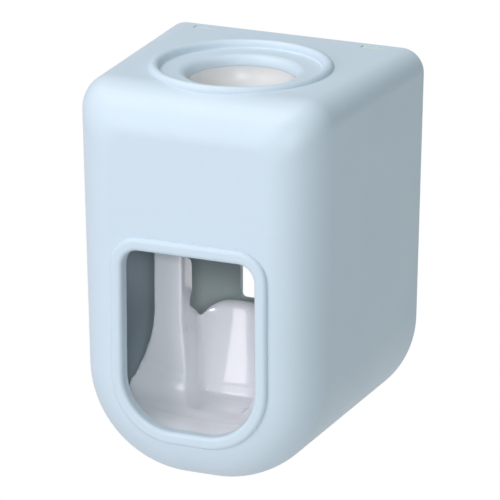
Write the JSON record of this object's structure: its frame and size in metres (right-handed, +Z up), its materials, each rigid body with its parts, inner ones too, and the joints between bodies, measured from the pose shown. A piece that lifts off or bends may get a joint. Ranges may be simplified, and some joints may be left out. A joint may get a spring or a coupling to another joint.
{
  "type": "toothpaste dispenser",
  "caption": "Wall-hung hand pump for toothpaste: tapered shell with a tube port on top, a rimmed front window for the brush, a swinging push lever and a lift-off wall hanger.",
  "frame": {"origin": "middle of the adhesive pad's wall face", "axes": "+Z up, +Y into the wall (the front faces -Y), +X to the right seen from the front"},
  "size_m": [0.0772, 0.0716, 0.1097],
  "materials": {
    "shell_blue": "satin, pale blue",
    "cover_blue": "satin, pale blue",
    "lever_white": "gloss, white",
    "inner_white": "satin, white",
    "silicone": "soft, milky silicone",
    "screw_steel": "zinc plated",
    "pin_steel": "ground steel",
    "spring_steel": "drawn wire",
    "bumper_rubber": "soft black rubber",
    "hanger_white": "satin, white",
    "foam_tape": "dense foam"
  },
  "bodies": {
    "wall_mount": {"wall_hanger": "hanger_white", "adhesive_pad": "foam_tape"},
    "housing": {"shell": "shell_blue", "back_cover": "cover_blue", "cover_screws": "screw_steel", "socket_cup": "inner_white", "neck_seal": "silicone", "seal_ring": "inner_white", "inlet_valve": "silicone", "pump_frame": "inner_white", "frame_screws": "screw_steel", "pump_bladder": "silicone", "clamp_ring": "inner_white", "outlet_nozzle": "inner_white", "outlet_valve": "silicone", "nozzle_cap": "inner_white", "pivot_pins": "pin_steel", "return_springs": "spring_steel", "stop_bumpers": "bumper_rubber"},
    "lever": {"push_lever": "lever_white", "bladder_presser": "inner_white"}
  },
  "joints": [
    {"name": "housing_lift", "type": "slide", "parent": "wall_mount", "child": "housing", "axis": [0, 0, 1], "range_m": [0, 0.024]},
    {"name": "lever_swing", "type": "hinge", "parent": "housing", "child": "lever", "pos_m": [0, -0.046, 0.01817], "axis": [1, 0, 0], "range_deg": [0, 16], "stiffness_Nm_per_rad": 0.25, "springref_deg": -17.19, "deforming": ["pump_bladder", "return_springs"]}
  ]
}
